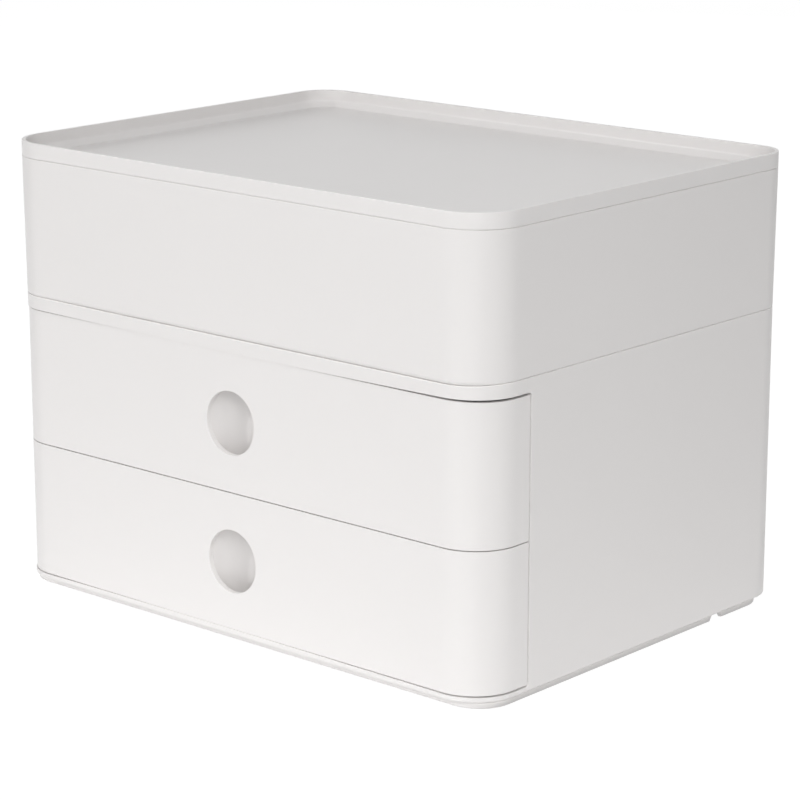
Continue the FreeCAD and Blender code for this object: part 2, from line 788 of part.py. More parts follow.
def make_lid_tray():
    """The lid: a rimmed tray on top, and a skirt below that sits in the box's mouth."""
    body = new_body("lid_tray")
    block = new_sketch(body, "block", "XY_Plane", seam)
    draw_outline(block, lid_outline.corners())
    pad(block, s.lid_height)
    tray = new_sketch(body, "tray", "XY_Plane", top)
    draw_outline(tray, lid_outline.inset(s.lid_rim).corners())
    pocket(tray, s.tray_depth)
    under_depth = s.lid_height - s.tray_depth - s.lid_floor
    under = new_sketch(body, "underside", "XY_Plane", seam)
    draw_outline(under, organizer_inside_mouth.corners())
    pocket(under, under_depth, reverse=True)
    skirt_outline = organizer_inside_mouth.inset(s.lid_skirt_clearance)
    skirt = new_sketch(body, "skirt", "XY_Plane", seam + under_depth)
    draw_outline(skirt, skirt_outline.corners())
    draw_outline(skirt, skirt_outline.inset(s.lid_skirt_wall).corners())
    pad(skirt, under_depth + s.lid_skirt_depth, reverse=True)

    floor_level = top - s.tray_depth
    inner_rim = lid_outline.inset(s.lid_rim)
    dress_edges(body, "floor_edge", "Fillet", s.lid_floor_edge, lambda edge: (
        lies_at(edge, floor_level) and inner_rim.passes(middle(edge))))
    dress_edges(body, "rim_edges", "Chamfer", s.lid_rim_edge, lambda edge: lies_at(edge, top))
    dress_edges(body, "seam_edge", "Chamfer", s.seam_edge, lambda edge: (
        lies_at(edge, seam) and lid_outline.passes(middle(edge))))
    return body


# Every sub-part

bodies = [make_housing_shell(), make_plinth_frame()]
bodies += [make_foot(place) for place in foot_places]
for level_name in levels:
    bodies += [make_runner(level_name, side_name) for side_name in sides]
    bodies += [make_buffer(level_name, side_name) for side_name in sides]
    bodies += [make_drawer_tray(level_name), make_drawer_front(level_name)]
bodies += [make_organizer_box(), make_organizer_insert(), make_lid_tray()]
doc.recompute()

for item in doc.Objects:
    if {"Invalid", "Error"} & set(item.State):
        raise RuntimeError(f"{item.Name} failed: {item.State}")
for body in bodies:
    shape = body.Shape
    if shape.isNull() or not shape.isValid() or len(shape.Solids) != 1:
        raise RuntimeError(f"{body.Label} is not one valid solid")

os.makedirs("parts", exist_ok=True)
for body in bodies:
    body.Shape.exportStep(f"parts/{body.Label}.step")
    box = body.Shape.BoundBox
    print(f"{body.Label:22} {box.XLength:8.2f} {box.YLength:8.2f} {box.ZLength:8.2f}"
          f"  volume {body.Shape.Volume / 1000:8.2f} cm3")
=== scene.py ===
# %% [markdown]
# # A desk box with two drawers
# The object is a white moulded-plastic desk box: a housing with two drawers, a lidded utensil
# box that stands on the housing, and a lid that is also a shallow tray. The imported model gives
# every place and size as a fixed frame. This lesson gives that frame its looks: soft edges, fine
# surfaces, a satin finish, studio light and a camera.
# %% Load the frame
import math
from typing import NamedTuple

import bmesh
import bpy
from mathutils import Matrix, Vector


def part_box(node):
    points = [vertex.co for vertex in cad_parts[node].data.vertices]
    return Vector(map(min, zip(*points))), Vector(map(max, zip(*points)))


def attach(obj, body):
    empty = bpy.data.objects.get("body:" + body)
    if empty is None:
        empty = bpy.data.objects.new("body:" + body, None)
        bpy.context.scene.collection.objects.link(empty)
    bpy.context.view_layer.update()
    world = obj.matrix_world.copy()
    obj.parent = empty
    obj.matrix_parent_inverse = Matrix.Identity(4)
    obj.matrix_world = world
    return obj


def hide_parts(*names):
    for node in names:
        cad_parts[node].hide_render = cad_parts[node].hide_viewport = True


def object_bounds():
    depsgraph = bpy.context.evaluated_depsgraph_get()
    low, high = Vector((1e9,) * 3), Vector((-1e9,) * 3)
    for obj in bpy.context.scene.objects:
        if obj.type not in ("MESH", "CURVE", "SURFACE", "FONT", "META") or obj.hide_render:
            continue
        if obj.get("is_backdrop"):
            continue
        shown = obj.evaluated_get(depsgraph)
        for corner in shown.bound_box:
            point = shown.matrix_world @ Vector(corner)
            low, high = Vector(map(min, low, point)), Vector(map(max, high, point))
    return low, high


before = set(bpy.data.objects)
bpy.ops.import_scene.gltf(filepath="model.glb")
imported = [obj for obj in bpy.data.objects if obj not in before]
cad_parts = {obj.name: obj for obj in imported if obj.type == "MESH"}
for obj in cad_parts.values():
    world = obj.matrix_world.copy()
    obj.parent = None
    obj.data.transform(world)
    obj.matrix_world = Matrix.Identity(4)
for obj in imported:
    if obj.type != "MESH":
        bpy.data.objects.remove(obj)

model_low, model_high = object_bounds()
print("model box:", [round(v, 4) for v in (*model_low, *model_high)])

# %% [markdown]
# ## Sizes
# A moulding's outline comes from its node's box. The radii, walls and edges that a box can't
# tell are named here, in metres. Every outline is an inset of the lid's own, so an inset says
# how far in from the lid's edge a surface stands.
# %% Name the sizes
MM = 0.001
low, high = 0, 1
scene = bpy.context.scene
levels = ("upper", "lower")

lid_low, lid_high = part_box("lid_tray")
organizer_low, organizer_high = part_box("organizer_box")
shell_low, shell_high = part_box("housing_shell")
insert_low, insert_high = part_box("organizer_insert")
plinth_low, plinth_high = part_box("plinth_frame")
front_boxes = {level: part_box(f"drawer_{level}_front") for level in levels}
tray_boxes = {level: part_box(f"drawer_{level}_tray") for level in levels}

CORNERS = 20 * MM, 15.5 * MM
SHELL_INSET = lid_high.x - shell_high.x
GAP_BELOW = 0.35 * MM
GAP_ABOVE = 0.7 * MM
PANEL_GAP = 0.5 * MM

deck_top = shell_high.z
seam = organizer_high.z
bay_floor = front_boxes["lower"][low].z - GAP_BELOW
bay_top = front_boxes["upper"][high].z + GAP_ABOVE
panel_front = front_boxes["upper"][high].y + PANEL_GAP
print("levels (mm):", [round(v / MM, 2) for v in (bay_floor, bay_top, deck_top, seam)])

# %% [markdown]
# ## Outlines seen from above
# Every moulding here is a rounded rectangle with larger corners at the front. A corner is drawn
# as an arc of short chords. One extra point on each side of an arc keeps the long flat sides
# flat when the faces are shaded smooth.
# %% Draw outlines
CORNER_STEPS = 18
SUPPORT = 0.6 * MM
NEAR = 0.1 * MM


def arc(before, here, after, radius, steps, support):
    """The points that round one corner, with an extra point on each side of the arc."""
    way_in = (here - before).normalized()
    way_out = (after - here).normalized()
    turn = way_in.angle_signed(way_out)
    setback = radius * math.tan(abs(turn) / 2)
    side = -1 if turn > 0 else 1
    start = here - way_in * setback
    centre = start + Vector((-way_in.y, way_in.x)) * radius * side
    arm = start - centre
    points = [start - way_in * support]
    for step in range(steps + 1):
        angle = -turn * step / steps
        points.append(centre + Vector((arm.x * math.cos(angle) - arm.y * math.sin(angle),
                                       arm.x * math.sin(angle) + arm.y * math.cos(angle))))
    return points + [here + way_out * (setback + support)]


def rounded(corners, steps):
    """A closed outline's points, with an arc at each corner (x, y, radius)."""
    places = [Vector((x, y)) for x, y, _ in corners]
    points = []
    for index, (here, after) in enumerate(zip(places, places[1:] + places[:1])):
        radius = corners[index][2]
        points += (arc(places[index - 1], here, after, radius, steps, SUPPORT) if radius > 0
                   else [here])
    return points


class Outline(NamedTuple):
    """A rounded rectangle seen from above."""

    half_width: float
    front: float
    rear: float
    front_radius: float
    rear_radius: float

    def inset(self, wall):
        """The same outline, a wall's thickness further in."""
        return Outline(self.half_width - wall, self.front + wall, self.rear - wall,
                       self.front_radius - wall, self.rear_radius - wall)

    def points(self):
        """Its points anticlockwise, from the rear end of the left side."""
        return rounded([
            (-self.half_width, self.front, self.front_radius),
            (self.half_width, self.front, self.front_radius),
            (self.half_width, self.rear, self.rear_radius),
            (-self.half_width, self.rear, self.rear_radius),
        ], CORNER_STEPS)

    def holds(self, point):
        """True when a point, seen from above, lies on the outline."""
        if point.y < 0:
            radius, beyond = self.front_radius, self.front + self.front_radius - point.y
        else:
            radius, beyond = self.rear_radius, point.y - (self.rear - self.rear_radius)
        across = abs(point.x) - (self.half_width - radius)
        away = math.hypot(across, beyond) if min(across, beyond) > 0 else max(across, beyond)
        return abs(away - radius) < NEAR


lid_outline = Outline(lid_high.x, lid_low.y, lid_high.y, *CORNERS)
shell_outline = lid_outline.inset(SHELL_INSET)
print("outline points:", len(lid_outline.points()))

# %% [markdown]
# ## Rings and profiles
# The lid, the utensil box and the housing's block are each one profile carried round the
# outline. A profile is a list of turns (inset, height, radius), and each turn becomes a small
# arc. Sections of points are joined by quads, and the first and last are closed by a flat face,
# so there are clean loops and no booleans. Thin mouldings are never quite straight, so a profile
# may also be a function of the place on the outline, and stations along the straight sides let
# a seam open and close from one end to the other.
# %% Carry a profile round an outline
EDGE_STEPS = 5
EDGE_SUPPORT = 0.25 * MM
STATION = 12 * MM


def soft_profile(turns):
    """A profile's points, with an arc at each turn that has a radius."""
    places = [Vector((inset, height)) for inset, height, _ in turns]
    points = places[:1]
    for (*_, radius), before, here, after in zip(turns[1:], places, places[1:], places[2:]):
        points += arc(before, here, after, radius, EDGE_STEPS, EDGE_SUPPORT) if radius else [here]
    return points + places[-1:]


def new_piece(name, mesh):
    """Links a new object for a mesh."""
    piece = bpy.data.objects.new(name, mesh)
    scene.collection.objects.link(piece)
    return piece


def bare_piece(name, points, edges=(), faces=()):
    """A piece from plain points, edges and faces."""
    mesh = bpy.data.meshes.new(name)
    mesh.from_pydata(points, edges, faces)
    return new_piece(name, mesh)


def from_bmesh(name, work):
    """A piece from finished mesh work, with its faces turned outwards."""
    bmesh.ops.recalc_face_normals(work, faces=work.faces)
    mesh = bpy.data.meshes.new(name)
    work.to_mesh(mesh)
    work.free()
    return new_piece(name, mesh)


def through(name, sections):
    """A solid whose surface passes through a row of sections with equally many points."""
    work = bmesh.new()
    rows = [[work.verts.new(point) for point in section] for section in sections]
    for near, far in zip(rows, rows[1:]):
        for index in range(len(near)):
            work.faces.new((near[index - 1], near[index], far[index], far[index - 1]))
    work.faces.new(rows[0])
    work.faces.new(rows[-1])
    return from_bmesh(name, work)


def stationed(points):
    """An outline's points, with more of them along its straight sides."""
    result = []
    for point, following in zip(points, points[1:] + points[:1]):
        count = max(1, round((following - point).length / STATION))
        result += [point.lerp(following, step / count) for step in range(count)]
    return result


def ringed(name, outline, turns):
    """A solid whose surface is a profile carried round an outline, closed at both ends."""
    points = stationed(outline.points())
    inner = stationed(outline.inset(MM).points())
    columns = []
    for point, inside in zip(points, inner):
        inwards = (inside - point) / MM
        profile = soft_profile(turns(point) if callable(turns) else turns)
        columns.append([(*(point + inwards * inset), height) for inset, height in profile])
    return through(name, zip(*columns))


def oblong(left, front, right, rear):
    """The corners of a rectangle."""
    return [(left, front), (right, front), (right, rear), (left, rear)]


def prism(name, points, start, end, axis="Z"):
    """A straight solid of one outline between two places along an axis."""
    at = "XYZ".index(axis)
    return through(name, [[(*point[:at], depth, *point[at:]) for point in points]
                          for depth in (start, end)])


def along(table, x):
    """The value that a table of places (in millimetres, from left to right) gives for a place."""
    place = x / MM
    if place <= table[0][0]:
        return table[0][1]
    for (left, before), (right, after) in zip(table, table[1:]):
        if place <= right:
            return before + (after - before) * (place - left) / (right - left)
    return table[-1][1]


def fading(value, start, end):
    """1 before a start, 0 after an end, and a smooth fall between."""
    share = min(1, max(0, (end - value) / (end - start)))
    return share * share * (3 - 2 * share)


def disc(centre, radius, steps):
    """The points of a circle."""
    angles = [math.tau * step / steps for step in range(steps)]
    return [(centre[0] + radius * math.cos(angle), centre[1] + radius * math.sin(angle))
            for angle in angles]


# %% [markdown]
# ## Cutting and softening
# Openings are cut with exact booleans. The new sharp edges are then chosen by their place, get
# the radius that the moulding has there as a bevel weight, and one Bevel modifier rounds them
# all. Weighted normals keep the flat walls flat beside the small rounded edges.
# %% Cut, soften and settle
SHARP = math.radians(28)
BEVEL_STEPS = 3
MERGE = 0.002 * MM
FLAT_WEIGHT = 100
CM3 = 1e-6


def settle(piece):
    """Replaces a piece's mesh by what its modifiers make of it."""
    graph = bpy.context.evaluated_depsgraph_get()
    made = bpy.data.meshes.new_from_object(piece.evaluated_get(graph),
                                           preserve_all_data_layers=True, depsgraph=graph)
    piece.modifiers.clear()
    before = piece.data
    piece.data = made
    bpy.data.meshes.remove(before)


def carve(piece, tool, how="DIFFERENCE"):
    """Cuts a tool out of a piece, or joins it on, and throws the tool away."""
    step = piece.modifiers.new("carve", "BOOLEAN")
    step.object = tool
    step.operation = how
    step.solver = "EXACT"
    settle(piece)
    bpy.data.objects.remove(tool)


def soften(piece, rules):
    """Rounds sharp edges: a rule is a radius and the share of it that an edge gets."""
    widest = max(radius for radius, _ in rules)
    work = bmesh.new()
    work.from_mesh(piece.data)
    bmesh.ops.remove_doubles(work, verts=work.verts, dist=MERGE)
    layer = work.edges.layers.float.new("bevel_weight_edge")
    chosen = 0
    for edge in work.edges:
        if not edge.is_manifold or edge.calc_face_angle() < SHARP:
            continue
        start, end = edge.verts[0].co, edge.verts[1].co
        for radius, share_of in rules:
            share = share_of((start + end) / 2, (end - start).normalized())
            if share:
                edge[layer] = share * radius / widest
                chosen += 1
                break
    work.to_mesh(piece.data)
    work.free()
    bevel = piece.modifiers.new("soften", "BEVEL")
    bevel.limit_method = "WEIGHT"
    bevel.width = widest
    bevel.segments = BEVEL_STEPS
    bevel.use_clamp_overlap = True
    bevel.miter_outer = "MITER_ARC"
    settle(piece)
    print(f"{piece.name}: {chosen} edges rounded")


def smooth(piece):
    """Smooth shading with crisp creases and flat walls."""
    piece.data.shade_smooth()
    piece.data.set_sharp_from_angle(angle=SHARP)
    weighted = piece.modifiers.new("weighted", "WEIGHTED_NORMAL")
    weighted.keep_sharp = True
    weighted.weight = FLAT_WEIGHT
    settle(piece)


def check_closed(piece):
    """Prints a piece's triangles, and any edge that leaves its surface open."""
    work = bmesh.new()
    work.from_mesh(piece.data)
    loose = sum(not edge.is_manifold for edge in work.edges)
    volume = work.calc_volume(signed=True)
    triangles = sum(len(face.verts) - 2 for face in work.faces)
    work.free()
    print(f"{piece.name}: {triangles} triangles, {volume / CM3:.1f} cm3, {loose} open edges")


# %% [markdown]
# ## Shader maths
# One small class wraps a node's output, so that a pattern is written as an ordinary expression.
# Every other node comes from one method, which takes the node's type, its settings and the
# values or links of its sockets.
# %% Wrap the shader nodes
class Value:
    """A number that a node gives out."""

    def __init__(self, owner, plug):
        self.owner = owner
        self.plug = plug

    def math(self, operation, *others):
        sockets = enumerate((self, *others))
        return self.owner.node("ShaderNodeMath", sockets, operation=operation)

    def __add__(self, other):
        return self.math("ADD", other)

    def __sub__(self, other):
        return self.math("SUBTRACT", other)

    def __mul__(self, other):
        return self.math("MULTIPLY", other)

    def __truediv__(self, other):
        return self.math("DIVIDE", other)

    def __rsub__(self, other):
        return self * -1 + other

    def __rtruediv__(self, other):
        return self.math("POWER", -1.0) * other

    __radd__ = __add__
    __rmul__ = __mul__

    def clamped(self):
        return self.owner.node("ShaderNodeClamp", {"Value": self})


class Nodes:
    """A node tree that is filled one node at a time."""

    def node(self, kind, sockets=(), output=0, **settings):
        """Adds a node: its settings first, then its sockets' values and links."""
        made = self.tree.nodes.new(kind)
        for key, setting in settings.items():
            setattr(made, key, setting)
        for key, value in dict(sockets).items():
            socket = made.inputs[key]
            for each in value if isinstance(value, list) else [value]:
                if isinstance(each, Value):
                    self.tree.links.new(each.plug, socket)
                else:
                    socket.default_value = each
        return Value(self, made.outputs[output]) if made.outputs else None


class Finish(Nodes):
    """A material's nodes."""

    stock, ending = bpy.data.materials, "ShaderNodeOutputMaterial"

    def __init__(self, name):
        self.material = self.stock.new(name)
        self.material.use_nodes = True
        self.tree = self.material.node_tree
        self.tree.nodes.clear()

    def place(self, kind="Object"):
        """Where a point is on the object, in metres, or with "Normal" the way it faces."""
        return self.node("ShaderNodeTexCoord", output=kind)

    def noise(self, place, scale, detail, roughness):
        """A cloudy pattern: its scale, its layers and how strong the finer layers are."""
        return self.node("ShaderNodeTexNoise", {
            "Vector": place, "Scale": scale, "Detail": detail, "Roughness": roughness})

    def blend(self, share, *colours):
        """Two colours, plain or from a node, mixed by a share."""
        first, second = (each if isinstance(each, Value) else (*each, 1) for each in colours)
        return self.node("ShaderNodeMix", {0: share, 6: first, 7: second}, 2, data_type="RGBA")

    def close(self, shader):
        """Links the shader to the output."""
        self.node(self.ending, {"Surface": shader})
        return self.material


# %% [markdown]
# ## Satin white plastic
# The outer mouldings are snow white and satin. Seen closely, such a moulding has a very fine
# spark-eroded grain, a slow change of gloss where the melt met a warmer part of the tool, and
# a tone that drifts by about one part in a hundred. All of it comes from noise at three scales
# on the object's own coordinates, so it stays put from every side. Some walls get painted shade,
# a darker colour where a mask from the same coordinates says. A plastic is given as two tones, a
# gloss, its swing and the height of its grain, and may get a painted shade colour with its mask.
# %% Make the plastics
CLOUDS = 5, 1.0, 0.5
FLOW = 14, 3.0, 0.6
GRAIN = 2600, 2.0, 0.55
CLOUD_SHARE = 0.7
GLOSS_MIDDLE = 0.75
FLOW_HEIGHT = 0.4


def moulded(name, bright, dim, gloss, gloss_swing, grain_height, painted_shade_mask=None, painted_shade_colour=None):
    """A moulded plastic: two near tones, a gloss that drifts, a fine grain, and painted shade
    where a mask says.
    """
    finish = Finish(name)
    place = finish.place()
    clouds, flow, grain = (finish.noise(place, *pattern) for pattern in (CLOUDS, FLOW, GRAIN))
    tone = (clouds * CLOUD_SHARE + grain * (1 - CLOUD_SHARE)).clamped()
    colour = finish.blend(tone, dim, bright)
    # Painted shade: where a mask is given, the colour is blended towards the darker shade colour.
    if painted_shade_mask:
        colour = finish.blend(painted_shade_mask(finish, place), colour, painted_shade_colour)
    roughness = (flow * gloss_swing + grain * (gloss_swing / 2)
                 + (gloss - gloss_swing * GLOSS_MIDDLE))
    bump = finish.node("ShaderNodeBump", {
        "Strength": 1.0, "Distance": grain_height, "Height": grain + flow * FLOW_HEIGHT})
    return finish.close(finish.node("ShaderNodeBsdfPrincipled", {
        "Base Color": colour, "Roughness": roughness, "Normal": bump, "IOR": 1.5}))


SATIN = (0.879, 0.859, 0.849), (0.854, 0.834, 0.825), 0.34, 0.08, 0.004 * MM
INNER = (0.838, 0.82, 0.812), (0.808, 0.79, 0.783), 0.5, 0.1, 0.008 * MM
RUBBER = (0.10, 0.10, 0.105), (0.07, 0.07, 0.074), 0.8, 0.1, 0.02 * MM
satin_white = moulded("satin_white", *SATIN)
inner_white = moulded("inner_white", *INNER)
soft_rubber = moulded("grey_rubber", *RUBBER)
print("finishes:", [m.name for m in (satin_white, inner_white, soft_rubber)])


def finished(piece, material, body, slot, *nodes):
    """Shades a piece, gives it a finish, and puts it on its body in place of its nodes."""
    smooth(piece)
    piece.data.materials.clear()
    piece.data.materials.append(material)
    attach(piece, body)
    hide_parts(*nodes)
    check_closed(piece)


# %% [markdown]
# ## The lid, which is also a tray
# A raised rim runs round a flat floor, and underneath a skirt sits in the utensil box's mouth.
# One profile says all of it: from the middle of the floor out over the rim, down the outside,
# under the edge, round the skirt and back to the middle of the underside. Inside the rim the wall
# is upright at first and then slopes in, because lower down it has to clear the utensil box's
# mouth. The lid rests on the utensil box a little inside its edge, which leaves the fine dark
# line of the seam. The wall inside the rim has painted shade: its colour is darker than the rest.
# Its faces look back at the lid's middle, so the mask compares the way a face looks with its
# place.
# %% Make the lid
# The first colour is the painted shade on the wall inside the lid's rim.
RIM_WALL_PAINTED_SHADE = (0.74, 0.721, 0.713)
WALL_FACING = 60 * MM
RIM_WALL = 1.8 * MM
WALL_DEPTH = 4.9 * MM
TRAY_DEPTH = 7.5 * MM
FOOT_INSET = 4.6 * MM
LID_FLOOR = 1.8 * MM
CAP_INSET = 9 * MM
FLOOR_ROUND = 1 * MM
RIM_ROUND = 0.25 * MM
SMALL_ROUND = 0.3 * MM
BOX_WALL = 2.2 * MM
SKIRT_GAP = 0.35 * MM
SKIRT_WALL = 1.6 * MM
LID_FOOT_ROUND = 0.5 * MM
SEAM_SLIT = 0.02 * MM
SEAM_REST = 1.2 * MM

lid_top = lid_high.z
floor_top = lid_top - TRAY_DEPTH
floor_under = floor_top - LID_FLOOR
skirt_out = BOX_WALL + SKIRT_GAP
skirt_in = skirt_out + SKIRT_WALL
lid = ringed("lid", lid_outline, [
    (CAP_INSET, floor_top, 0),
    (FOOT_INSET, floor_top, FLOOR_ROUND),
    (RIM_WALL, lid_top - WALL_DEPTH, FLOOR_ROUND),
    (RIM_WALL, lid_top, RIM_ROUND),
    (0, lid_top, RIM_ROUND),
    (0, seam + SEAM_SLIT, LID_FOOT_ROUND),
    (SEAM_REST, seam + SEAM_SLIT, 0),
    (SEAM_REST, seam, 0),
    (skirt_out, seam, 0),
    (skirt_out, lid_low.z, SMALL_ROUND),
    (skirt_in, lid_low.z, 0),
    (skirt_in, floor_under, 0),
    (CAP_INSET, floor_under, 0),
])


def painted_rim_shade_mask(finish, place):
    """Where painted shade darkens the colour: 1 on the wall inside the lid's rim, which faces the
    lid's middle, and 0 elsewhere.
    """
    sideways = finish.node("ShaderNodeVectorMath", {0: finish.place("Normal"), 1: (1, 1, 0)},
                           operation="MULTIPLY")
    outward = finish.node("ShaderNodeVectorMath", {0: sideways, 1: place}, "Value",
                          operation="DOT_PRODUCT")
    return (outward / -WALL_FACING).clamped()


# The lid's white, with painted shade on the wall inside its rim.
lid_white = moulded("lid_white", *SATIN, painted_rim_shade_mask, RIM_WALL_PAINTED_SHADE)
finished(lid, lid_white, "lid", "white_plastic", "lid_tray")

# %% [markdown]
# ## The utensil box
# Its walls lean out by half a millimetre from the housing's outline at the foot to the lid's
# outline at the mouth. Underneath, a low ring drops into the deck's recess so that the box
# can't slide off. Along the front its foot is rounded more, and the housing's edge under it
# sinks a little, so this seam is deeper and more open there than on the other sides. Both
# profiles are therefore functions: how much of the front's form they take fades from the front
# to the sides.
# %% Make the utensil box
BOX_FLOOR = 2 * MM
BOX_MOUTH_ROUND = 0.2 * MM
DECK_RIM = 2.6 * MM
RING_GAP = 0.3 * MM
RING_WALL = 1.8 * MM
INNER_FLOOR_ROUND = 0.25 * MM
FOOT_ROUNDS = 0.6 * MM, 0.9 * MM
STEP_HEIGHT = 1.3 * MM
STEP_DEPTHS = 0.03 * MM, 0.22 * MM
STEP_SLOPE = 0.25 * MM
SEAM_DROPS = 0, 0.4 * MM
DECK_REST = 2.2 * MM
REST_GAP = 0.1 * MM
FRONT_END, SIDE_START = -98 * MM, -82 * MM
SEAM_SHARES = ((-130, 0.3), (-105, 0.5), (-80, 0.8), (-50, 0.95), (0, 1))

ring_out = SHELL_INSET + DECK_RIM + RING_GAP
ring_in = ring_out + RING_WALL
box_floor_top = deck_top + BOX_FLOOR


def at_seam(sizes, point):
    """The deck seam's size at a point, between its size at the side and its size in front."""
    side, ahead = sizes
    share = fading(point.y, FRONT_END, SIDE_START) * along(SEAM_SHARES, point.x)
    return side + (ahead - side) * share


def box_turns(point):
    """The utensil box's profile at a point of its outline."""
    foot = deck_top - at_seam(SEAM_DROPS, point)
    step_out = SHELL_INSET + at_seam(STEP_DEPTHS, point)
    rest_out = SHELL_INSET + DECK_REST - REST_GAP
    return [
        (CAP_INSET, box_floor_top, 0),
        (SHELL_INSET + BOX_WALL, box_floor_top, INNER_FLOOR_ROUND),
        (BOX_WALL, seam, SMALL_ROUND),
        (0, seam, BOX_MOUTH_ROUND),
        (SHELL_INSET, foot + STEP_HEIGHT, 0),
        (step_out, foot + STEP_HEIGHT - STEP_SLOPE, 0),
        (step_out, foot, at_seam(FOOT_ROUNDS, point)),
        (rest_out, foot, 0),
        (rest_out, deck_top, 0),
        (ring_out, deck_top, 0),
        (ring_out, organizer_low.z, SMALL_ROUND),
        (ring_in, organizer_low.z, SMALL_ROUND),
        (ring_in, deck_top, 0),
        (CAP_INSET, deck_top, 0),
    ]


utensil_box = ringed("utensil_box", lid_outline, box_turns)
finished(utensil_box, satin_white, "organizer", "white_plastic", "organizer_box")

# %% [markdown]
# ## The housing
# The housing is a sleeve that is open at the front and round both front corners: a deck with a
# lip, two side panels that stop behind the drawer fronts, a back, and a thin strip under the
# lower drawer. It starts as a ringed block and is then cut: first the opening, seen from the
# side, then the bay, then the hollow under the deck. The lip and the strip are thin, so they
# bow: both nearly touch the drawer fronts in the middle and stand off them at the corners, most
# at the right. The opening's tool therefore passes through a row of sections, and two tables
# say how wide the gap is at each place.
# %% Make the housing
SIDE_WALL = 2.5 * MM
BACK_WALL = 2.2 * MM
DECK_SLITS = 0.03 * MM, 0.08 * MM
DECK_RECESS = 2 * MM
DECK_WALL = 2.2 * MM
BAY_CORNER = 1.5 * MM
PANEL_ROUND = 0.9 * MM
LIP_SHARE = 0.4
SEAM_ROUND = 0.35 * MM
FOOT_ROUND = 1 * MM
OVERRUN = 5 * MM
UPRIGHT = 0.9
LIP_GAPS = ((-130, 0.4), (-105, 0.38), (-76, 0.18), (-34, 0.05), (0, 0.04), (30, 0.1),
            (57, 0.29), (81, 0.5), (105, 0.78), (120, 0.95), (130, 1.05))
STRIP_GAPS = ((-130, 0.5), (-110, 0.45), (-80, 0.17), (-51, 0.1), (-37, 0.06), (0, 0.06),
              (31, 0.1), (56, 0.22), (81, 0.33), (106, 0.4), (120, 0.55), (130, 0.65))
FRONT_RISES = {
    "upper": ((-130, 0.5), (-76, 0.42), (0, 0.3), (45, 0.18), (115, 0.18), (130, -0.1)),
    "lower": ((0, 0),),
}
OPENING_STEPS, BAY_CORNER_STEPS = 28, 6

bay_outline = shell_outline.inset(SIDE_WALL)._replace(rear=shell_outline.rear - BACK_WALL)
deck_floor = deck_top - DECK_RECESS


def shell_turns(point):
    """The housing's profile at a point of its outline."""
    edge_top = deck_top - at_seam(SEAM_DROPS, point) - at_seam(DECK_SLITS, point)
    return [
        (CAP_INSET, deck_floor, 0),
        (DECK_RIM, deck_floor, SMALL_ROUND),
        (DECK_RIM, deck_top, 0),
        (DECK_REST, deck_top, 0),
        (DECK_REST, edge_top, 0),
        (0, edge_top, SEAM_ROUND),
        (0, shell_low.z, FOOT_ROUND),
        (CAP_INSET, shell_low.z, 0),
    ]


def front_top(level, x):
    """The height of a drawer front's top edge, which bows a little from left to right."""
    return front_boxes[level][high].z + along(FRONT_RISES[level], x) * MM


housing = ringed("housing", shell_outline, shell_turns)
opening_front = shell_outline.front - OVERRUN
reach = shell_outline.half_width + OVERRUN
sections = []
for step in range(OPENING_STEPS + 1):
    x = -reach + 2 * reach * step / OPENING_STEPS
    lip = front_top("upper", x) + along(LIP_GAPS, x) * MM
    strip = front_boxes["lower"][low].z - along(STRIP_GAPS, x) * MM
    sections.append([(x, *point) for point in rounded([
        (opening_front, strip, 0),
        (panel_front, strip, BAY_CORNER),
        (panel_front, lip, BAY_CORNER),
        (opening_front, lip, 0),
    ], BAY_CORNER_STEPS)])
carve(housing, through("opening", sections))
bay = bay_outline._replace(front=panel_front - BAY_CORNER, front_radius=0)
carve(housing, prism("bay", bay.points(), bay_floor, bay_top))
carve(housing, prism("under_deck", bay_outline.points(), bay_top - OVERRUN,
                     deck_floor - DECK_WALL))


def on_opening(middle, way):
    """An outer edge of the drawers' opening, rounded less where it runs level."""
    inside = bay_floor - SEAM_ROUND < middle.z < bay_top + SEAM_ROUND
    return inside and shell_outline.holds(middle) and LIP_SHARE + (1 - LIP_SHARE) * way.z ** 2


def on_panel_end(middle, way):
    """An upright edge of a side panel's front end."""
    return abs(middle.y - panel_front) < NEAR and abs(way.z) > UPRIGHT


soften(housing, [(PANEL_ROUND, on_opening), (SMALL_ROUND, on_panel_end)])
finished(housing, satin_white, "housing", "white_plastic", "housing_shell")

# %% [markdown]
# ## Drawer fronts
# A front is a band that wraps both corners of the housing. It is drawn once from above, raised
# to its height, and gets a shelf behind it that covers the runners, and a round finger hole.
# The hole's rim is rounded more than the other edges, because a finger pulls there, and so is
# the top edge behind, where the papers slide in. The band stands a hair inside the housing's
# outline, so that the side panel's edge shows behind it.
# %% Make the drawer fronts
FRONT_WALL = 2.5 * MM
FRONT_INSET = 0.4 * MM
FRONT_ROUND = 0.5 * MM
BACK_ROUND = 1.2 * MM
HOLE_RADIUS = 13 * MM
HOLE_ROUND = 1.8 * MM
HOLE_STEPS = 96
NEAR_TOP = 0.05 * MM
AT_END = 0.01 * MM
HOLE_REACH = 1.2
SHELF_WALL = 1.8 * MM
SHELF_GAP = 0.3 * MM
FLANGE_WIDTH = 3.5 * MM
LUG_HEIGHT = 1.2 * MM
TRAY_REAR_CORNER = 8 * MM


def band(outer, inner, end):
    """A strip between two outlines, round both front corners and back to one end."""
    return rounded([
        (-outer.half_width, end, 0),
        (-outer.half_width, outer.front, outer.front_radius),
        (outer.half_width, outer.front, outer.front_radius),
        (outer.half_width, end, 0),
        (inner.half_width, end, 0),
        (inner.half_width, inner.front, inner.front_radius),
        (-inner.half_width, inner.front, inner.front_radius),
        (-inner.half_width, end, 0),
    ], CORNER_STEPS)


def tray_outline(level):
    """The drawer tray's own outline, without its flanges."""
    near, far = tray_boxes[level]
    return Outline(far.x - FLANGE_WIDTH, near.y, far.y, shell_outline.front_radius - FRONT_WALL,
                   TRAY_REAR_CORNER)


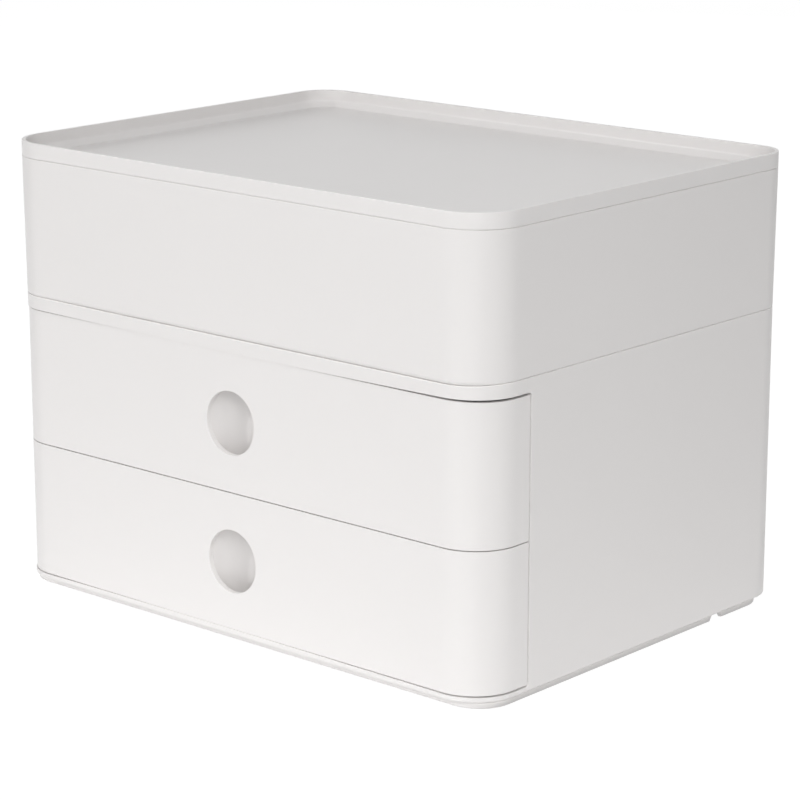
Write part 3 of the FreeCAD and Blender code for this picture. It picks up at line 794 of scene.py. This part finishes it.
def make_front(level):
    """A drawer's front with its shelf and its finger hole."""
    near, far = front_boxes[level]
    end = far.y
    rim = tray_boxes[level][high].z - LUG_HEIGHT
    outer, inner = shell_outline.inset(FRONT_INSET), shell_outline.inset(FRONT_WALL)
    edge = stationed(band(outer, inner, end))
    front = through(f"drawer_front_{level}", [
        [(*point, near.z) for point in edge],
        [(*point, front_top(level, point.x)) for point in edge],
    ])
    shelf = prism("shelf", band(shell_outline.inset(FRONT_WALL / 2),
                                tray_outline(level).inset(-SHELF_GAP), end - SMALL_ROUND),
                  rim - SHELF_WALL, rim)
    carve(front, shelf, "UNION")
    centre = (0, (near.z + far.z) / 2)
    carve(front, prism("hole", disc(centre, HOLE_RADIUS, HOLE_STEPS), near.y - OVERRUN,
                       near.y + OVERRUN, "Y"))

    def on_rim(middle, way):
        away = math.hypot(middle.x, middle.z - centre[1])
        return max(abs(away - HOLE_RADIUS), abs(middle.y - outer.front)) < NEAR

    def on_top(middle):
        return middle.z > front_top(level, middle.x) - NEAR_TOP

    def on_outside(middle, way):
        at_end = min(middle.z - near.z, end - middle.y) < AT_END
        return (at_end or on_top(middle)) and outer.holds(middle)

    def on_back(middle, way):
        return on_top(middle) and inner.holds(middle) and middle.y < end - FRONT_WALL

    def in_front(middle, way):
        return middle.y < near.y + HOLE_REACH * FRONT_WALL

    soften(front, [(HOLE_ROUND, on_rim), (BACK_ROUND, on_back), (FRONT_ROUND, on_outside),
                   (SMALL_ROUND, in_front)])
    finished(front, satin_white, f"drawer_{level}", "white_plastic", f"drawer_{level}_front")


for level in front_boxes:
    make_front(level)

# %% [markdown]
# ## Drawer trays
# Behind each front hangs an open tray. A finger that goes through the front's hole meets a
# closed pocket, half a pipe about the front's outer face, so that it can't touch the papers.
# The tray's inside is cut by a tool that is itself cut: a cylinder taken out of the tool leaves
# the pocket's rounded housing, which is one moulding with the tray. Flanges along both sides
# hang in the runners, and a ramped lug on each flange meets the runner's stop.
# %% Make the drawer trays
TRAY_WALL = 1.8 * MM
TRAY_FLOOR_ROUND = 1.2 * MM
POCKET_WALL = 1.6 * MM
POCKET_ABOVE = 2 * MM
POCKET_BELOW = 4.5 * MM
FLANGE_WALL = 1.8 * MM
FLANGE_END_GAP = 2 * MM
LUG_LENGTH = 4 * MM
LUG_RAMP = 2 * MM
RUNNER_WIDTH = 4.5 * MM


def plug(name, outline, floor, top, foot_round):
    """A tool that cuts a compartment with a rounded foot."""
    middle = min(outline.front_radius, outline.rear_radius) - SMALL_ROUND
    return ringed(name, outline, [
        (middle, floor, 0),
        (0, floor, foot_round),
        (0, top, 0),
        (middle, top, 0),
    ])


def make_tray(level):
    """A drawer's tray with its finger pocket, flanges and stop lugs."""
    outline = tray_outline(level)
    bottom = tray_boxes[level][low].z
    rim = tray_boxes[level][high].z - LUG_HEIGHT
    runner_low, runner_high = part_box(f"runner_{level}_right")
    tray = prism(f"drawer_tray_{level}", outline.points(), bottom, rim)
    inside = plug("inside", outline.inset(TRAY_WALL), bottom + TRAY_WALL, rim + OVERRUN,
                  TRAY_FLOOR_ROUND)
    at_front = (0, shell_outline.front)
    hole_height = (front_boxes[level][low].z + front_boxes[level][high].z) / 2
    pocket_low = hole_height - HOLE_RADIUS - POCKET_BELOW
    pocket_high = hole_height + HOLE_RADIUS + POCKET_ABOVE
    carve(inside, prism("housing", disc(at_front, HOLE_RADIUS + POCKET_WALL, HOLE_STEPS),
                        pocket_low - POCKET_WALL, pocket_high + POCKET_WALL))
    carve(tray, inside)
    carve(tray, prism("pocket", disc(at_front, HOLE_RADIUS, HOLE_STEPS), pocket_low, pocket_high))
    start, end = runner_low.y + FLANGE_END_GAP, runner_high.y - FLANGE_END_GAP
    inner, outer = outline.half_width - TRAY_WALL / 2, outline.half_width + FLANGE_WIDTH
    lug_inner = runner_high.x - RUNNER_WIDTH
    for side in (-1, 1):
        flange = oblong(side * inner, start, side * outer, end)
        carve(tray, prism("flange", flange, rim - FLANGE_WALL, rim), "UNION")
        lug = [
            (end - LUG_LENGTH, rim - FLANGE_WALL / 2),
            (end - SMALL_ROUND, rim - FLANGE_WALL / 2),
            (end - SMALL_ROUND, rim),
            (end - LUG_RAMP, rim + LUG_HEIGHT),
            (end - LUG_LENGTH, rim + LUG_HEIGHT),
        ]
        carve(tray, prism("lug", lug, side * lug_inner, side * (outer - SMALL_ROUND), "X"),
              "UNION")
    soften(tray, [(SEAM_ROUND, lambda middle, way: abs(middle.z - rim) < NEAR),
                  (SMALL_ROUND, lambda middle, way: middle.z < bottom + NEAR)])
    finished(tray, satin_white, f"drawer_{level}", "white_plastic", f"drawer_{level}_tray")


for level in tray_boxes:
    make_tray(level)

# %% [markdown]
# ## Geometry Nodes for what repeats
# Four feet, four buffers, four runners and a row of cells are each one form that comes back.
# A node tree builds the form from named inputs and puts it at its places, and the result is
# turned into a plain mesh. The small class below fills a tree the way the finishes fill theirs.
# %% Wrap the geometry nodes
SOCKET_KINDS = {float: "NodeSocketFloat", int: "NodeSocketInt", tuple: "NodeSocketVector"}


class Recipe(Nodes):
    """A Geometry Nodes tree with named inputs and their first values."""

    def __init__(self, name, **inputs):
        self.tree = bpy.data.node_groups.new(name, "GeometryNodeTree")
        sockets = self.tree.interface
        for way in ("OUTPUT", "INPUT"):
            sockets.new_socket("Geometry", in_out=way, socket_type="NodeSocketGeometry")
        for key, value in inputs.items():
            kind = SOCKET_KINDS[type(value)]
            sockets.new_socket(key, in_out="INPUT", socket_type=kind).default_value = value
        self.given = self.tree.nodes.new("NodeGroupInput")

    def __getitem__(self, name):
        return Value(self, self.given.outputs[name])

    def end(self, geometry, material):
        """Every recipe ends in Realize Instances and Set Material."""
        real = self.node("GeometryNodeRealizeInstances", {"Geometry": geometry})
        shaded = self.node("GeometryNodeSetMaterial", {"Geometry": real, "Material": material})
        self.node("NodeGroupOutput", {"Geometry": shaded})

    def make(self, piece, **values):
        """Runs the recipe on a piece and keeps the plain mesh."""
        step = piece.modifiers.new(self.tree.name, "NODES")
        step.node_group = self.tree
        for item in self.tree.interface.items_tree:
            if item.in_out == "INPUT" and item.name in values:
                step[item.identifier] = values[item.name]
        settle(piece)
        print(f"{piece.name}: {len(piece.data.polygons)} faces from {self.tree.name}")


# %% [markdown]
# ## Feet and buffers
# A foot and a buffer are both a turned button: a disc whose nose has a rounded edge. On a
# straight line of points, the height and the radius of each point follow a quarter circle up to
# the rim and then jump to the far end. A circle carried along that line, thick or thin as its
# radius says, is the turned form.
# %% Make the feet and the buffers
BUTTON_EDGE = 0.8 * MM
BUTTON_STATIONS, BUTTON_SIDES = 10, 48
sides = ("left", "right")

button = Recipe("turned_button", radius=4 * MM, height=3 * MM, edge=BUTTON_EDGE,
                turn=(0.0, 0.0, 0.0), stations=BUTTON_STATIONS, sides=BUTTON_SIDES)
radius, edge = button["radius"], button["edge"]
stations = button["stations"]
line = button.node("GeometryNodeCurvePrimitiveLine", {"End": (0, 0, 1 * MM)})
line = button.node("GeometryNodeResampleCurve", {"Curve": line, "Count": stations})
index = button.node("GeometryNodeInputIndex")
angle = (index / (stations - 2)).math("MINIMUM", 1.0) * (math.pi / 2)
is_end = index.math("GREATER_THAN", stations - 1.5)
nose = edge * (1 - angle.math("COSINE"))
station_height = nose + is_end * (button["height"] - nose)
station_radius = radius + edge * (angle.math("SINE") - 1)
place = button.node("ShaderNodeCombineXYZ", {"Z": station_height})
line = button.node("GeometryNodeSetPosition", {"Geometry": line, "Position": place})
ring = button.node("GeometryNodeCurvePrimitiveCircle", {
    "Resolution": button["sides"], "Radius": 1.0})
solid = button.node("GeometryNodeCurveToMesh", {
    "Curve": line, "Profile Curve": ring, "Scale": station_radius, "Fill Caps": True})
copies = button.node("GeometryNodeInstanceOnPoints", {
    "Points": button["Geometry"], "Instance": solid, "Rotation": button["turn"]})
button.end(copies, soft_rubber)


def place_buttons(name, nodes, axis, tilt):
    """Buttons in the place of their nodes, each standing on its node's low end along an axis."""
    near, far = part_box(nodes[0])
    places = []
    for node in nodes:
        place = sum(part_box(node), Vector()) / 2
        place[axis] = near[axis]
        places.append(place)
    piece = bare_piece(name, places)
    button.make(piece, radius=(far.x - near.x) / 2, height=far[axis] - near[axis],
                turn=(tilt, 0.0, 0.0))
    finished(piece, soft_rubber, "housing", "soft_rubber", *nodes)


place_buttons("feet", [f"foot_{end}_{side}" for end in ("front", "rear") for side in sides],
              2, 0.0)
place_buttons("buffers", [f"buffer_{level}_{side}" for level in levels for side in sides],
              1, -math.pi / 2)

# %% [markdown]
# ## The plinth frame
# The frame under the housing follows one closed path, so it is a section carried along it. The
# path is the plinth's outline as a loop of edges, and the section is a rectangle with rounded
# corners, moved so that its outer side lies on the path. A thin flange on top stiffens the frame
# and joins it to the housing. The arched notches near the rear are cut afterwards. The sides
# lie in the housing's shade, and painted shade makes their colour darker towards the ground.
# %% Make the plinth frame
PLINTH_CORNERS = 15 * MM, 12 * MM
PLINTH_WALL = 2.2 * MM
PLINTH_FLANGE_WALL = 0.8 * MM
PLINTH_FLANGE_WIDTH = 9 * MM
PLINTH_ROUND = 0.8 * MM
NOTCH_FROM_REAR = 35.3 * MM
NOTCH_WIDTH = 8.8 * MM
NOTCH_DEPTH = 4 * MM
NOTCH_CORNER = 3.2 * MM
NOTCH_STEPS = 8
# Where the painted shade low on the plinth's sides starts and fades in, and its colour.
SHADE_TOP, SHADE_FADE = plinth_high.z + 0.3 * MM, 2.2 * MM
PLINTH_SIDE_PAINTED_SHADE = (0.6, 0.585, 0.578)

sweep = Recipe("frame_along_path", width=PLINTH_WALL, height=3 * MM, edge=PLINTH_ROUND,
               inwards=0.0, rise=0.0, steps=4)
path = sweep.node("GeometryNodeMeshToCurve", {"Mesh": sweep["Geometry"]})
section = sweep.node("GeometryNodeCurvePrimitiveQuadrilateral", {
    "Width": sweep["width"], "Height": sweep["height"]}, mode="RECTANGLE")
section = sweep.node("GeometryNodeFilletCurve", {
    "Curve": section, "Count": sweep["steps"], "Radius": sweep["edge"]}, mode="POLY")
shift = sweep.node("ShaderNodeCombineXYZ", {
    "X": sweep["inwards"] * -1, "Y": sweep["rise"] * -1})
section = sweep.node("GeometryNodeTransform", {"Geometry": section, "Translation": shift})
swept = sweep.node("GeometryNodeCurveToMesh", {"Curve": path, "Profile Curve": section})
sweep.end(swept, satin_white)

plinth_outline = Outline(plinth_high.x, plinth_low.y, plinth_high.y, *PLINTH_CORNERS)


def loop_piece(name, points, height):
    """A piece that holds one closed loop of edges."""
    count = len(points)
    return bare_piece(name, [(*point, height) for point in points],
                      [(index, (index + 1) % count) for index in range(count)])


skirt_height = plinth_high.z - plinth_low.z
plinth = loop_piece("plinth", plinth_outline.points(), plinth_low.z)
sweep.make(plinth, width=PLINTH_WALL, height=skirt_height, edge=PLINTH_ROUND,
           inwards=PLINTH_WALL / 2, rise=skirt_height / 2)
flange = loop_piece("flange", plinth_outline.points(), plinth_high.z)
flange_start = PLINTH_WALL / 2
sweep.make(flange, width=PLINTH_FLANGE_WIDTH - flange_start, height=PLINTH_FLANGE_WALL,
           edge=PLINTH_ROUND / 4, inwards=(PLINTH_FLANGE_WIDTH + flange_start) / 2,
           rise=-PLINTH_FLANGE_WALL / 2)
carve(plinth, flange, "UNION")
notch_rear = plinth_outline.rear - NOTCH_FROM_REAR + NOTCH_WIDTH / 2
notch_front = notch_rear - NOTCH_WIDTH
notch = rounded([
    (notch_front, plinth_low.z - OVERRUN, 0),
    (notch_rear, plinth_low.z - OVERRUN, 0),
    (notch_rear, plinth_high.z, NOTCH_CORNER),
    (notch_front, plinth_high.z, NOTCH_CORNER),
], NOTCH_STEPS)
for side in (-1, 1):
    carve(plinth, prism("notch", notch, side * (plinth_outline.half_width - NOTCH_DEPTH),
                        side * (plinth_outline.half_width + OVERRUN), "X"))


def plinth_side_shade_mask(finish, place):
    """Where painted shade darkens the colour: 1 low on the plinth's sides and 0 on its front, its
    rear and its top.
    """
    sideways = finish.node("ShaderNodeSeparateXYZ", {"Vector": finish.place("Normal")}, "X")
    height = finish.node("ShaderNodeSeparateXYZ", {"Vector": place}, "Z")
    return ((SHADE_TOP - height) / SHADE_FADE).clamped() * sideways * sideways


# The plinth's white, with painted shade low on its sides.
plinth_white = moulded("plinth_white", *SATIN, plinth_side_shade_mask, PLINTH_SIDE_PAINTED_SHADE)
finished(plinth, plinth_white, "housing", "white_plastic", "plinth_frame")

# %% [markdown]
# ## Runners
# Four channels carry the drawers' flanges. One channel is drawn as a section, raised along the
# drawer's travel and given its stop. A recipe then repeats it one drawer lower, mirrors the pair
# to the left and turns the mirrored faces the right way out again.
# %% Make the runners
RUNNER_WEB = 1.2 * MM
RUNNER_LIP = 1.5 * MM
STOP_PLACE = 20 * MM
STOP_LENGTH = 4 * MM
RUNNER_ROUND = 0.2 * MM

runner_low, runner_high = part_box("runner_upper_right")
runner_inner, runner_outer = runner_low.x, runner_high.x
slot_top = runner_high.z - RUNNER_LIP
runner = prism("runners", [
    (runner_inner, runner_low.z),
    (runner_outer, runner_low.z),
    (runner_outer, runner_high.z),
    (runner_inner, runner_high.z),
    (runner_inner, slot_top),
    (runner_outer - RUNNER_WEB, slot_top),
    (runner_outer - RUNNER_WEB, runner_low.z + RUNNER_LIP),
    (runner_inner, runner_low.z + RUNNER_LIP),
], runner_low.y, runner_high.y, "Y")
stop_front = runner_low.y + STOP_PLACE
stop = oblong(runner_inner, slot_top - LUG_HEIGHT, runner_outer - RUNNER_WEB / 2,
              slot_top + RUNNER_LIP / 2)
carve(runner, prism("stop", stop, stop_front, stop_front + STOP_LENGTH, "Y"), "UNION")
soften(runner, [(RUNNER_ROUND, lambda middle, way: middle.x < runner_inner + NEAR / 2)])

drawer_pitch = front_boxes["upper"][low].z - front_boxes["lower"][low].z
pairs = Recipe("drawer_pairs", pitch=drawer_pitch, count=len(levels))
drop = pairs.node("ShaderNodeCombineXYZ", {"Z": pairs["pitch"] * -1})
places = pairs.node("GeometryNodeMeshLine", {"Count": pairs["count"], "Offset": drop})
right = pairs.node("GeometryNodeInstanceOnPoints", {
    "Points": places, "Instance": pairs["Geometry"]})
right = pairs.node("GeometryNodeRealizeInstances", {"Geometry": right})
left = pairs.node("GeometryNodeTransform", {"Geometry": right, "Scale": (-1, 1, 1)})
left = pairs.node("GeometryNodeFlipFaces", {"Mesh": left})
both = pairs.node("GeometryNodeJoinGeometry", {"Geometry": [right, left]})
pairs.end(both, inner_white)
pairs.make(runner)
finished(runner, inner_white, "housing", "inner_plastic",
         *[f"runner_{level}_{side}" for level in levels for side in sides])

# %% [markdown]
# ## The divided insert
# A loose insert fills the utensil box: a pen tray along the front and a row of equal cells
# behind it. One plug with a rounded foot is the shape of a cell. A recipe sets copies of it in a
# row and takes them all out of the block at once, so the number of cells is one input.
# %% Make the insert
INSERT_GAP = 0.3 * MM
INSERT_WALL = 1.8 * MM
PEN_DEPTH = 60 * MM
INSERT_CORNER = 6 * MM
GRIP_RADIUS = 10 * MM
GRIP_STEPS = 48
CELL_COUNT = 3
CELL_ROUND = 2 * MM
INSERT_ROUND = 0.4 * MM

insert_outline = lid_outline.inset(SHELL_INSET + BOX_WALL + INSERT_GAP)
hollow = insert_outline.inset(INSERT_WALL)
insert_rim = insert_high.z
insert_floor = insert_low.z + INSERT_WALL
insert = prism("insert", insert_outline.points(), insert_low.z, insert_rim)
pen_rear = hollow.front + PEN_DEPTH
pens = hollow._replace(rear=pen_rear, rear_radius=INSERT_CORNER)
carve(insert, plug("pens", pens, insert_floor, insert_rim + OVERRUN, CELL_ROUND))
cell_width = (hollow.half_width * 2 + INSERT_WALL) / CELL_COUNT - INSERT_WALL
cell_outline = Outline(cell_width / 2, pen_rear + INSERT_WALL, hollow.rear, hollow.rear_radius,
                       hollow.rear_radius)
cell = plug("cell", cell_outline, insert_floor, insert_rim + OVERRUN, CELL_ROUND)

row = Recipe("row_of_cells", pitch=cell_width + INSERT_WALL, count=CELL_COUNT)
reach = row["pitch"] * (row["count"] - 1)
start = row.node("ShaderNodeCombineXYZ", {"X": reach * -0.5})
step = row.node("ShaderNodeCombineXYZ", {"X": row["pitch"]})
places = row.node("GeometryNodeMeshLine", {
    "Count": row["count"], "Start Location": start, "Offset": step})
tool = row.node("GeometryNodeObjectInfo", {"Object": cell}, "Geometry")
tools = row.node("GeometryNodeInstanceOnPoints", {"Points": places, "Instance": tool})
tools = row.node("GeometryNodeRealizeInstances", {"Geometry": tools})
cut = row.node("GeometryNodeMeshBoolean", {"Mesh 1": row["Geometry"], "Mesh 2": tools},
               operation="DIFFERENCE", solver="EXACT")
row.end(cut, inner_white)
row.make(insert)
bpy.data.objects.remove(cell)

grip_centre = ((pen_rear + INSERT_WALL + hollow.rear) / 2, insert_rim)
grip_reach = insert_outline.half_width + OVERRUN
carve(insert, prism("grips", disc(grip_centre, GRIP_RADIUS, GRIP_STEPS), -grip_reach, grip_reach,
                    "X"))
soften(insert, [(INSERT_ROUND, lambda middle, way: middle.z > insert_floor + CELL_ROUND)])
finished(insert, inner_white, "insert", "inner_plastic", "organizer_insert")

# %% [markdown]
# ## The camera
# The camera's place comes from the picture's own perspective: the slopes of the long edges give
# its height and its angle round the object, and how they run together gives its distance.
# %% Set the camera
CAMERA_PLACE = {"azimuth": 41.5293, "elevation": 14.4240, "distance": 1.21159}
CAMERA_LENS, FILM_WIDTH = 130.44, 36
CAMERA_AIM = Vector((0.0020, 0.0018, 0.0819))


def hang(item, azimuth, elevation, distance):
    """Puts a camera or a lamp round the object, 0 in front and 90 right, aimed at its middle."""
    azimuth, elevation = math.radians(azimuth), math.radians(elevation)
    way = Vector((math.sin(azimuth) * math.cos(elevation),
                  -math.cos(azimuth) * math.cos(elevation), math.sin(elevation)))
    scene.collection.objects.link(item)
    item.location = CAMERA_AIM + way * distance
    item.rotation_mode = "QUATERNION"
    item.rotation_quaternion = (CAMERA_AIM - item.location).to_track_quat("-Z", "Y")


camera = bpy.data.objects.new("camera", bpy.data.cameras.new("camera"))
camera.data.lens = CAMERA_LENS
camera.data.sensor_width = FILM_WIDTH
hang(camera, **CAMERA_PLACE)
scene.camera = camera
scene.view_settings.view_transform = "Standard"
print("camera at", [round(v, 3) for v in camera.location])

# %% [markdown]
# ## A white room
# The picture has a pure white ground. The world and the floor are white for what the camera sees
# and for reflections, and lit at a plain level for everything else, so that the ground adds no
# extra light to the object. The floor's white is almost all its own, with a small lit share on
# top that leaves a faint shadow under the object. For the light that falls back on the object,
# the floor is a pale table about a metre wide in a dark room. That is why the white fronts are
# brightest near their foot and lose a little towards the lid.
# %% Make the white room
AMBIENT = 0.162
FLOOR_SIZE = 6
FLOOR_GLOW = 0.97
FLOOR_LIT = 0.12
TABLE_TONE = 0.85
TABLE_RADIUS = 0.5


class Sky(Finish):
    """The world's nodes."""

    stock, ending = bpy.data.worlds, "ShaderNodeOutputWorld"


def seen_directly(finish):
    """1 where a camera ray, a reflection or a transmitted ray arrives."""
    rays = "Is Camera Ray", "Is Glossy Ray", "Is Transmission Ray"
    camera, glossy, clear = (finish.node("ShaderNodeLightPath", output=ray) for ray in rays)
    return camera.math("MAXIMUM", glossy).math("MAXIMUM", clear)


sky = Sky("white_room")
strength = seen_directly(sky) * (1 - AMBIENT) + AMBIENT
scene.world = sky.close(sky.node("ShaderNodeBackground", {
    "Color": (1, 1, 1, 1), "Strength": strength}))

ground = Finish("white_ground")
distance = ground.node("ShaderNodeVectorMath", {0: ground.place()}, "Value", operation="LENGTH")
lit = ground.node("ShaderNodeBsdfDiffuse", {
    "Color": distance.math("LESS_THAN", TABLE_RADIUS) * TABLE_TONE})
share = ground.node("ShaderNodeBsdfDiffuse", {
    "Color": (FLOOR_LIT, FLOOR_LIT, FLOOR_LIT, 1)})
glow = ground.node("ShaderNodeEmission", {"Color": (1, 1, 1, 1), "Strength": FLOOR_GLOW})
shown = ground.node("ShaderNodeAddShader", {0: glow, 1: share})
ground_white = ground.close(ground.node("ShaderNodeMixShader", {
    0: seen_directly(ground), 1: lit, 2: shown}))
half = FLOOR_SIZE / 2
floor = bare_piece("floor", [(*corner, 0) for corner in oblong(-half, -half, half, half)],
                   faces=[(0, 1, 2, 3)])
floor.data.materials.append(ground_white)
floor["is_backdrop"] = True

# %% [markdown]
# ## Studio lamps
# The picture is lit like a product shot: broad soft boxes low in front and high on the camera's
# side, and one small lamp on the left. The front is the brightest side and the right side is
# about a tenth darker. The small lamp is the one that shows form: it reaches into the finger
# holes and draws the edge of the front's shadow as a curve inside the pocket. Each lamp is given
# by its angle round the object, its height angle, its width in metres and its power in watts.
# A last one behind keeps the back from going grey, and no surface mirrors it.
# %% Hang the lamps
LAMP_DISTANCE = 2.0
SOFT_BOX, SMALL_LAMP = 0.8, 0.06
LAMPS = {
    "left_small": (-37, 22, SMALL_LAMP, 6.9),
    "left_low": (-35, 8, SOFT_BOX, 4.45),
    "front_low": (-10, 8, SOFT_BOX, 3.05),
    "camera_low": (40, 8, SOFT_BOX, 5.95),
    "camera_high": (40, 35, SOFT_BOX, 7.6),
    "right_low": (65, 8, SOFT_BOX, 4.7),
    "right_high": (80, 35, SOFT_BOX, 2.95),
    "top": (45, 65, SOFT_BOX, 7.1),
    "rear_low": (-155, 8, SOFT_BOX, 4.5),
}

for name, (azimuth, elevation, size, power) in LAMPS.items():
    light = bpy.data.lights.new(name, "AREA")
    light.size = size
    light.energy = power
    lamp = bpy.data.objects.new(name, light)
    lamp.visible_glossy = name != "rear_low"
    hang(lamp, azimuth, elevation, LAMP_DISTANCE)
print("lamps:", len(LAMPS))

size = {"model": [list(corner) for corner in (model_low, model_high)],
        "finished": [list(corner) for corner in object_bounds()]}
print("sizes:", size)
